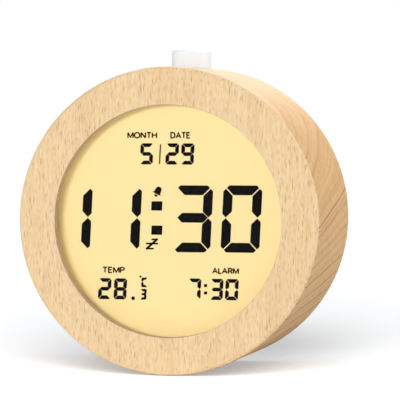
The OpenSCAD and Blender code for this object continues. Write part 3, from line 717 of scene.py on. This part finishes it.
def heading(name, text, left, right, bottom, top, stroke, material):
    """A word in plain capitals that fills the given box, in millimetres about the drum's axis."""
    total = sum(LETTERS[c][0] for c in text) + LETTER_GAP * (len(text) - 1)
    across, up = (right - left - stroke) / total, top - bottom - stroke
    bm = bmesh.new()
    pen = 0.0
    for char in text:
        width, strokes = LETTERS[char]
        for points in strokes:
            ribbon(bm, [(left + stroke / 2 + (pen + x) * across, bottom + stroke / 2 + z * up)
                        for x, z in points], stroke)
        pen += width + LETTER_GAP
    return from_bmesh(name, bm, material)


# Each heading: name, word, left, right, bottom and top.
HEADINGS = (("month_heading", "MONTH", -12.89, -4.04, 23.45, 25.37),
            ("date_heading", "DATE", -0.18, 5.75, 23.46, 25.38),
            ("temp_heading", "TEMP", -20.40, -13.67, -15.3, -13.42),
            ("alarm_heading", "ALARM", 12.05, 19.95, -15.06, -13.24))


def glowing_display():
    """The lit field behind the digits: a satin amber film, lit from behind and from the room."""
    s = Shader("display_glow", Specular_IOR_Level=0.1, Emission_Strength=0.25)
    cloud = s.noise(s.position(), 0.05)
    fine = s.noise(s.position(), 6.0)
    s.feed(Base_Color=s.mix(cloud, (0.790, 0.638, 0.352), (0.805, 0.652, 0.361)),
           Emission_Color=s.mix(cloud, (1.0, 0.66, 0.20), (1.0, 0.67, 0.21)),
           Roughness=s.remap(fine, 0.3, 0.7, 0.5, 0.62))
    s.bump(fine, 0.003)
    return s.material


def clear_cover():
    """A clear moulded lens: seen through, with a weak reflection that grows towards grazing."""
    s = Shader("clear_lens")
    gloss = s.node("BsdfGlossy", {"Color": (1, 1, 1), "Roughness": 0.03})
    through = s.node("BsdfTransparent", {"Color": (0.985, 0.99, 0.985)})
    edge = s.node("Fresnel", {"IOR": 1.09})
    mixed = s.node("MixShader", {0: edge.outputs[0], 1: through.outputs[0], 2: gloss.outputs[0]})
    s.tree.links.new(mixed.outputs[0], s.tree.nodes["Material Output"].inputs["Surface"])
    s.tree.nodes.remove(s.surface)
    return s.material


def display(ink, heading_ink):
    field = refine("lcd_front_polarizer", "display_field", glowing_display(), 0.04)
    ride_as("polarizer", "case", field)
    marks = [reading(name, ink, *parts) for name, parts in READINGS.items()]
    marks += [snooze_icon(ink), bell_icon(ink)]
    marks += [heading(*words, HEADING_STROKE, heading_ink) for words in HEADINGS]
    marks += [reading("date_divider", heading_ink, [], [DIVIDER], [])]
    ride_as("resin", "case", *marks)


LENS_CLEARANCE = 0.25 * MM


def front_lens():
    """The clear cover, thinned at the back to leave room for the display's layers."""
    chamfer, back = 0.25 * MM, DISPLAY_Y - LENS_CLEARANCE
    profile = [(0, LENS_Y), (INSERT_R - chamfer, LENS_Y), (INSERT_R, LENS_Y + chamfer),
               (INSERT_R, back - chamfer), (INSERT_R - chamfer, back), (0, back)]
    piece = lathe("clear_cover", profile, clear_cover(), axial(), 192)
    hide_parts("front_lens")
    ride_as("lens", "case", piece)


# ---- snooze button

CAP_R, CAP_TOP_R, CAP_ROUND, CAP_CROWN = 5.9 * MM, 5.75 * MM, 1.1 * MM, 0.06 * MM
CAP_SKIN, CAP_WALL = 1.2 * MM, 1.4 * MM
COLLAR_T, COLLAR_EDGE = 1.2 * MM, 0.15 * MM
POST_R, STEM_HALF = 2.8 * MM, 1.65 * MM


def snooze_cap(material):
    """The hollow cap: collar below the wood, drafted wall, rounded and barely domed top."""
    low, top = BUTTON_LOW.z - AXIS_Z, BUTTON_HIGH.z - AXIS_Z
    flange_r, soft, crown = BUTTON_HIGH.x, COLLAR_EDGE, CAP_CROWN
    inner_r, roof = CAP_R - CAP_WALL, top - CAP_SKIN
    profile = ([(0, low), (POST_R, low), (POST_R, roof), (inner_r, roof), (inner_r, low)]
               + arc((flange_r - soft, low + soft), soft, -90, 0, 3)
               + arc((flange_r - soft, low + COLLAR_T - soft), soft, 0, 90, 3)
               + [(CAP_R, low + COLLAR_T)]
               + arc((CAP_TOP_R - CAP_ROUND, top - crown - CAP_ROUND), CAP_ROUND, 0, 90, 8)
               + [(CAP_TOP_R * 0.5, top - crown * 0.3), (0, top)])
    place = Matrix.Translation((0, BUTTON_Y, AXIS_Z))
    cap = lathe("snooze_cap", profile, material, place, 128)
    stem_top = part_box("snooze_plunger")[1].z
    socket = block(Vector((-STEM_HALF, BUTTON_Y - STEM_HALF, BUTTON_LOW.z - MM)),
                   Vector((STEM_HALF, BUTTON_Y + STEM_HALF, stem_top)))
    cut(cap, from_bmesh("socket", socket, material))
    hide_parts("snooze_button")
    ride_as("button_white", "snooze", cap)


WIRE_ANGLE = math.radians(60)


def coil(name, start, end, radii, turns, wire_r, axis, material, steps=160, sides=12):
    """A wound wire between two points along axis, with its radius going from one value to the other."""
    start, end, axis = Vector(start), Vector(end), Vector(axis).normalized()
    across = axis.orthogonal().normalized()
    other = axis.cross(across)
    path = []
    for i in range(steps + 1):
        t = i / steps
        a = 2 * math.pi * turns * t
        r = radii[0] + (radii[1] - radii[0]) * t
        path.append(start.lerp(end, t) + across * r * math.cos(a) + other * r * math.sin(a))
    bm = bmesh.new()
    rings = []
    for i, point in enumerate(path):
        along = (path[min(i + 1, steps)] - path[max(i - 1, 0)]).normalized()
        u = along.cross(axis).normalized()
        v = along.cross(u)
        rings.append([bm.verts.new(point + wire_r * (math.cos(b) * u + math.sin(b) * v))
                      for b in (2 * math.pi * k / sides for k in range(sides))])
    for low, high in zip(rings, rings[1:]):
        for k in range(sides):
            j = (k + 1) % sides
            bm.faces.new((low[k], low[j], high[j], high[k]))
    bm.faces.new(rings[0])
    bm.faces.new(rings[-1])
    return from_bmesh(name, bm, material, WIRE_ANGLE)


SNOOZE_WIRE_R, SNOOZE_COIL_R, SNOOZE_TURNS = 0.17 * MM, 1.6 * MM, 3.5


def snooze_coil(material):
    """The fine spring under the button, which stands still with the case."""
    low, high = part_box("snooze_spring")
    foot, top = Vector((0, BUTTON_Y, low.z)), Vector((0, BUTTON_Y, high.z))
    wire = Vector((0, 0, SNOOZE_WIRE_R))
    piece = coil("snooze_coil", foot + wire, top - wire, (SNOOZE_COIL_R, SNOOZE_COIL_R), SNOOZE_TURNS,
                 SNOOZE_WIRE_R, (0, 0, 1), material)
    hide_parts("snooze_spring")
    ride_as("steel", "case", piece)
    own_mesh(piece)


# ---- rear

KEYS = ("mode", "alarm", "up", "down")
KEY_STEM_R, KEY_COLLAR_W, KEY_COLLAR_T, KEY_COLLAR_GAP = 1.5 * MM, 0.8 * MM, 0.8 * MM, 0.1 * MM
KEY_EDGE, KEY_DISH, KEY_DISH_SHARE = 0.9 * MM, 0.35 * MM, 0.72


def key_cap(key, material):
    """A rubber key: dished and rounded top, collar behind the cover and stem to its switch."""
    low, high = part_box(key + "_key")
    x, z = (low.x + high.x) / 2, (low.z + high.z) / 2 - AXIS_Z
    collar_r = (high.x - low.x) / 2
    r, soft, dish = collar_r - KEY_COLLAR_W, KEY_EDGE, KEY_DISH
    collar_top = COVER_Y - KEY_COLLAR_GAP
    collar_y = collar_top - KEY_COLLAR_T
    profile = ([(0, low.y), (KEY_STEM_R, low.y), (KEY_STEM_R, collar_y), (collar_r, collar_y),
                (collar_r, collar_top), (r, collar_top)]
               + arc((r - soft, high.y - soft), soft, 0, 90, 8)
               + [(r * f, high.y - dish * (1 - (f / KEY_DISH_SHARE) ** 2)) for f in (0.66, 0.5, 0.34, 0.17)]
               + [(0, high.y - dish)])
    cap = lathe(key + "_button", profile, material, axial(x, z), 72)
    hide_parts(key + "_key")
    ride_as("key_grey", key, cap)


# Marks on the back, in millimetres. ON_MARK_X and OFF_MARK_X are counted from the switch's middle.
MARK_HEIGHT, MARK_ROOT, MARK_DROP = 0.12, 0.05, 2.1
ARM, ARM_HALF_T, HAND_HALF_T = 1.0, 0.16, 0.13
CLOCK_RING, OFF_RING = (0.95, 1.25), (0.7, 1.0)
SWITCH_TRAVEL, ON_MARK_X, ON_MARK_HALF_H, OFF_MARK_X = 3.0, 5.6, 0.95, 5.8
ARROW_DROP, ARROW_HALF_W, ARROW_UP, ARROW_DOWN, ARROW_HEIGHT = 9.5, 1.6, 1.4, 0.8, 0.1


def raised(name, outlines, material, height=MARK_HEIGHT, body="case"):
    """Moulded marks standing on the cover, from (x, z) outlines in millimetres seen from behind."""
    bm = bmesh.new()
    for outline in outlines:
        prism(bm, [(-x, z) for x, z in outline], COVER_BACK_Y + height * MM, (height + MARK_ROOT) * MM)
    ride_as("cover_white", body, from_bmesh(name, bm, material))


def box_outline(x, z, half_w, half_h):
    return [(x - half_w, z - half_h), (x + half_w, z - half_h), (x + half_w, z + half_h),
            (x - half_w, z + half_h)]


def ring_parts(x, z, inner, outer, steps=28):
    """A flat ring as a row of four-cornered tiles."""
    rim = [arc((x, z), r, 0, 360, steps) for r in (inner, outer)]
    return [[rim[0][i], rim[1][i], rim[1][i + 1], rim[0][i + 1]] for i in range(steps)]


def key_marks(material):
    """Plain symbols below the keys and beside the alarm switch."""
    boxes = {key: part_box(key + "_key") for key in KEYS}
    across = {key: -(low.x + high.x) / 2 / MM for key, (low, high) in boxes.items()}
    z = (boxes["mode"][0].z - AXIS_Z) / MM - MARK_DROP
    x = across["mode"]
    hands = [box_outline(x, z + 0.325, HAND_HALF_T, 0.425), box_outline(x + 0.25, z, 0.35, HAND_HALF_T)]
    raised("mode_mark", ring_parts(x, z, *CLOCK_RING) + hands, material)
    x = across["alarm"]
    dome = arc((x, z), 0.72, 180, 0, 10)
    mouth = [(x + 0.78, z - 0.5), (x + 1.05, z - 0.8), (x - 1.05, z - 0.8), (x - 0.78, z - 0.5)]
    raised("alarm_mark", [dome + mouth, arc((x, z - 1.0), 0.3, 180, 360, 6)], material)
    x = across["up"]
    reach, half = (ARM + ARM_HALF_T) / 2, (ARM - ARM_HALF_T) / 2
    raised("up_mark", [box_outline(x, z, ARM, ARM_HALF_T), box_outline(x, z + reach, ARM_HALF_T, half),
                       box_outline(x, z - reach, ARM_HALF_T, half)], material)
    raised("down_mark", [box_outline(across["down"], z, ARM, ARM_HALF_T)], material)
    low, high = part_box("alarm_switch_knob")
    z = (high.z + low.z) / 2 / MM - AXIS_Z / MM
    middle = -((low.x + high.x) / 2 / MM + SWITCH_TRAVEL / 2)
    raised("switch_on_mark", [box_outline(middle - ON_MARK_X, z, ARM_HALF_T, ON_MARK_HALF_H)], material)
    raised("switch_off_mark", ring_parts(middle + OFF_MARK_X, z, *OFF_RING), material)


def door_arrow(material):
    """The arrow on the battery door that shows which way its tab is pressed."""
    z = (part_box("battery_door")[1].z - AXIS_Z) / MM - ARROW_DROP
    outline = [(-ARROW_HALF_W, z + ARROW_UP), (ARROW_HALF_W, z + ARROW_UP), (0, z - ARROW_DOWN)]
    raised("door_arrow", [outline], material, ARROW_HEIGHT, "door")


def rear(cover, grey, knob, steel):
    ride_as("cover_white", "case", refine("rear_cover", "rear_shell", cover, 0.16))
    ride_as("cover_white", "door", refine("battery_door", "battery_hatch", cover, 0.12))
    ride_as("knob", "alarm_switch", refine("alarm_switch_knob", "switch_knob", knob, 0.14))
    ride_as("steel", "case", refine("rear_cover_screws", "cover_screws", steel, 0.06))
    for key in KEYS:
        key_cap(key, grey)
    key_marks(knob)
    door_arrow(cover)


# ---- cells

# Lengths of a cell's details in millimetres.
FILM_T, FILM_LIP, FILM_EDGE, FILM_BEND = 0.06, 0.55, 0.3, 0.26
NUB_H, NUB_R, NUB_EDGE = 0.8, 1.9, 0.2
SHOULDER, FOOT = 0.4, 0.5
PLUS_FROM_END, PLUS_ARM, PLUS_HALF_T, PLUS_DEPTH = 5.0, 1.5, 0.35, 0.015


def plus_mark(name, centre, radius, material):
    """A plus printed round the cell, as two thin curved plates, PLUS_DEPTH of the radius deep."""
    bm = bmesh.new()
    for half_x, half_arc in ((PLUS_ARM, PLUS_HALF_T), (PLUS_HALF_T, PLUS_ARM)):
        turns = [(side, half_arc * MM / radius * (i / 3 - 1) * side) for side in (-1, 1) for i in range(7)]
        plate(bm, *([centre + Vector((side * half_x * MM, r * math.cos(a), r * math.sin(a)))
                     for side, a in turns] for r in (radius, radius * (1 - PLUS_DEPTH))))
    return from_bmesh(name, bm, material)


def cell(name, node, direction, can, film, mark):
    """One dry cell: steel can with its nub, printed film with rolled ends, and a plus mark."""
    low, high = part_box(node)
    centre = (low + high) / 2
    nub_end = Vector((high.x if direction > 0 else low.x, centre.y, centre.z))
    place = Matrix.Translation(nub_end) @ Matrix.Rotation(math.radians(-90 * direction), 4, "Y")
    length, r = (high.x - low.x) / MM, (high.y - low.y) / 2 / MM
    inner = r - FILM_T
    profile = ([(0, 0)] + arc((NUB_R - NUB_EDGE, NUB_EDGE), NUB_EDGE, -90, 0, 4)
               + [(NUB_R, NUB_H - 0.1), (NUB_R + 0.25, NUB_H), (r - 0.9, NUB_H + 0.1)]
               + arc((inner - SHOULDER, NUB_H + 0.1 + SHOULDER), SHOULDER, -90, 0, 4)
               + arc((inner - FOOT, length - FOOT), FOOT, 0, 90, 4)
               + [(r - 1.1, length), (r - 1.4, length - 0.15), (0, length - 0.15)])
    body = lathe(name + "_can", from_mm(profile), can, place, 64)
    profile = ([(r - FILM_LIP, NUB_H + 0.04)]
               + arc((r - FILM_EDGE, NUB_H + 0.04 + FILM_EDGE), FILM_EDGE, -90, 0, 4)
               + arc((r - FILM_EDGE, length - FILM_EDGE), FILM_EDGE, 0, 90, 4)
               + [(r - FILM_LIP, length - 0.01), (r - FILM_LIP, length - FILM_T)]
               + arc((inner - FILM_BEND, length - 0.1 - FILM_BEND), FILM_BEND, 90, 0, 3)
               + arc((inner - FILM_BEND, NUB_H + 0.14 + FILM_BEND), FILM_BEND, 0, -90, 3)
               + [(r - FILM_LIP, NUB_H + 0.1)])
    sleeve = lathe(name + "_film", from_mm(profile), film, place, 64, closed=True)
    plus_at = nub_end - Vector((direction * PLUS_FROM_END * MM, 0, 0))
    ride_as("cell", "case", sleeve, plus_mark(name + "_plus", plus_at, r * MM, mark))
    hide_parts(node)
    ride_as("steel", "case", body)


SHEET_T, SHEET_EDGE = 0.3 * MM, 0.1 * MM
CONTACT_WIRE_R, CONTACT_TURNS, CONTACT_GAP = 0.35 * MM, 3, 0.02 * MM
CONE_R = (3.4 * MM, 2.2 * MM)


def sprung_contact(name, node, cell_node, direction, steel):
    """A sheet contact on the bay's end wall, and its cone spring up to the cell."""
    low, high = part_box(node)
    cell_low, cell_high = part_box(cell_node)
    middle = (cell_low + cell_high) / 2
    wall, end = (high.x, cell_high.x) if direction > 0 else (low.x, cell_low.x)
    inner = wall - direction * SHEET_T
    bm = block((min(wall, inner), low.y, low.z), (max(wall, inner), high.y, high.z))
    bmesh.ops.bevel(bm, geom=list(bm.edges), offset=SHEET_EDGE, segments=2, affect="EDGES")
    sheet = from_bmesh(name + "_contact_sheet", bm, steel)
    start = (inner - direction * CONTACT_WIRE_R * 0.7, middle.y, middle.z)
    tip = (end + direction * (CONTACT_WIRE_R + CONTACT_GAP), middle.y, middle.z)
    spring = coil(name + "_contact_spring", start, tip, CONE_R, CONTACT_TURNS, CONTACT_WIRE_R,
                  (direction, 0, 0), steel, 120)
    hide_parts(node)
    ride_as("steel", "case", sheet, spring)


def battery_bay(steel):
    film, mark = printed_film(), moulded("cell_print", (0.85, 0.85, 0.84), 0.35, 0.5, 0.003)
    cell("upper_cell", "upper_battery", 1, steel, film, mark)
    cell("lower_cell", "lower_battery", -1, steel, film, mark)
    sprung_contact("bridge", "battery_bridge_contact", "lower_battery", 1, steel)
    sprung_contact("negative", "battery_negative_contact", "upper_battery", -1, steel)
    ride_as("steel", "case", refine("battery_positive_contact", "positive_contact_sheet", steel, 0.1))


# ---- materials of the rest

def circuit_board():
    """Green solder mask over traces that run square, with tinned pads."""
    s = Shader("circuit_board", Roughness=0.35, Coat_Weight=0.25)
    cells = s.node("TexVoronoi", {"Vector": s.position(), "Scale": 0.35, "Randomness": 0.85},
                   distance="MANHATTAN")
    trace = s.remap(s.math("PINGPONG", cells.outputs["Distance"], 0.24), 0.14, 0.18)
    pads = s.node("TexVoronoi", {"Vector": s.position(), "Scale": 0.5, "Randomness": 0.6})
    pad = s.remap(pads.outputs["Distance"], 0.17, 0.13)
    mask = s.mix(trace, (0.012, 0.11, 0.045), (0.02, 0.19, 0.075))
    s.feed(Base_Color=s.mix(pad, mask, (0.62, 0.60, 0.52)), Metallic=s.times(pad, 0.9))
    s.bump(s.plus(trace, pad), 0.02)
    return s.material


def printed_film():
    """The cell's printed plastic film: a pale band at one end and a dark body."""
    s = Shader("cell_film", Coat_Weight=0.5, Coat_Roughness=0.12)
    along = s.split(s.position())["X"]
    band = s.remap(along, 8.8, 9.2)
    stripe = s.times(s.remap(along, 10.6, 10.9), s.remap(along, 11.9, 11.6))
    wear = s.noise(s.position(), 0.5, 4.0)
    body = s.mix(s.times(wear, 0.4), (0.02, 0.06, 0.14), (0.05, 0.12, 0.24))
    paint = s.mix(band, body, (0.55, 0.57, 0.56))
    s.feed(Base_Color=s.mix(stripe, paint, (0.02, 0.06, 0.14)),
           Roughness=s.remap(wear, 0.3, 0.7, 0.26, 0.4))
    s.bump(wear, 0.01)
    return s.material


def layer_glass(name, tint, roughness):
    """Thin glass or film inside the display: clear, with faint mottling and a greenish edge."""
    s = Shader(name, Transmission_Weight=0.6, IOR=1.5)
    cloud = s.noise(s.position(), 0.2, 3.0)
    fine = s.noise(s.position(), 5.0)
    s.feed(Base_Color=s.mix(cloud, tinted(tint, -0.06), tint),
           Roughness=s.remap(fine, 0.3, 0.7, roughness, roughness * 1.6))
    s.bump(fine, 0.002)
    return s.material


def banded(name, a, b, pitch):
    """Plastic or rubber with fine bands along X, as a ribbon cable or layered strip has."""
    s = Shader(name)
    along = s.split(s.position())["X"]
    wave = s.math("SINE", s.times(along, 2 * math.pi / pitch))
    cloud = s.noise(s.position(), 0.3, 3.0)
    bands = s.remap(s.plus(wave, s.times(cloud, 0.6)), -0.6, 1.2)
    s.feed(Base_Color=s.mix(bands, a, b), Roughness=s.remap(cloud, 0.3, 0.7, 0.4, 0.58))
    s.bump(wave, 0.06)
    return s.material


def finish_hidden_nodes(steel):
    """Materials for the CAD pieces inside the case, which show once it is opened."""
    finishes = (
        (moulded("foam_tape", (0.82, 0.82, 0.80), 0.8, 0.25, 0.03), "lens_tape_ring"),
        (layer_glass("display_glass", (0.86, 0.93, 0.90), 0.04), "lcd_front_glass lcd_rear_glass"),
        (layer_glass("rear_polarizer_film", (0.55, 0.50, 0.34), 0.12), "lcd_rear_polarizer"),
        (layer_glass("light_guide_acrylic", (0.98, 0.93, 0.80), 0.10), "light_guide"),
        (moulded("reflector_film", (0.93, 0.93, 0.92), 0.3, 0.6, 0.004), "reflector_sheet"),
        (moulded("inner_plastic", (0.80, 0.80, 0.78), 0.5, 0.4, 0.02), "lcd_frame inner_sleeve"),
        (circuit_board(), "main_board snooze_board key_board"),
        (steel, "frame_screws crystal snooze_board_screws key_board_screws alarm_switch_housing"),
        (moulded("chip_resin", (0.012, 0.012, 0.013), 0.3, 0.7, 0.02, 0.25, Coat_Weight=0.2),
         "controller_chip"),
        (moulded("dark_plastic", (0.03, 0.03, 0.032), 0.48, 0.4, 0.015, 0.15),
         "snooze_switch_housing key_switch_housings alarm_switch_slider buzzer"),
        (moulded("ivory_plastic", (0.78, 0.72, 0.56), 0.42, 0.4, 0.012),
         "snooze_plunger mode_plunger alarm_plunger up_plunger down_plunger"),
        (moulded("led_resin", (0.88, 0.80, 0.45), 0.35, 0.5, 0.01, 0.08, Coat_Weight=0.4),
         "backlight_leds"),
        (moulded("capacitor_ceramic", (0.46, 0.30, 0.17), 0.5, 0.5, 0.02, 0.12), "capacitors"),
        (moulded("thermistor_resin", (0.34, 0.13, 0.05), 0.28, 0.6, 0.02, 0.12, Coat_Weight=0.5),
         "thermistor"),
        (banded("zebra_rubber", (0.02, 0.02, 0.02), (0.30, 0.30, 0.31), 0.5), "zebra_strip"),
        (banded("ribbon_pvc", (0.55, 0.56, 0.58), (0.74, 0.75, 0.76), 1.0), "ribbon_cable"),
        (moulded("red_pvc", (0.50, 0.02, 0.015), 0.4, 0.6, 0.01, 0.1), "battery_lead_red"),
        (moulded("black_pvc", (0.012, 0.012, 0.012), 0.4, 0.6, 0.01, 0.2), "battery_lead_black"),
        (moulded("yellow_pvc", (0.75, 0.48, 0.03), 0.4, 0.6, 0.01, 0.1), "snooze_leads"),
    )
    for material, nodes in finishes:
        for node in nodes.split():
            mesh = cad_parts[node].data
            mesh.materials.clear()
            mesh.materials.append(material)


# ---- everything

make_camera()
make_studio()
beech_drum(beech())
front_lens()
ink = moulded("display_ink", (0.006, 0.006, 0.006), 0.5, 0.2, 0.004, 0.2, Specular_IOR_Level=0.03)
heading_ink = moulded("heading_ink", (0.022, 0.012, 0.003), 0.5, 0.2, 0.004, 0.2, Specular_IOR_Level=0.03)
display(ink, heading_ink)
steel = metal("plated_steel", (0.62, 0.62, 0.60), 0.32)
finish_hidden_nodes(steel)
snooze_cap(moulded("button_white", (0.885, 0.945, 0.99), 0.38, 0.5, 0.004, 0.012,
                   Subsurface_Weight=0.08, Subsurface_Scale=0.002, Subsurface_Radius=(1, 1, 1)))
snooze_coil(steel)
cover = moulded("cover_white", (0.80, 0.79, 0.765), 0.52, 0.28, 0.02, 0.02)
rear(cover, moulded("key_rubber", (0.30, 0.30, 0.305), 0.62, 0.3, 0.012, 0.08),
     moulded("knob_plastic", (0.26, 0.26, 0.265), 0.45, 0.3, 0.012, 0.08), steel)
pad_rubber = moulded("pad_rubber", (0.62, 0.62, 0.60), 0.75, 0.3, 0.03, 0.06)
ride_as("pad", "case", refine("base_pad", "anti_roll_pad", pad_rubber, 0.25))
battery_bay(steel)
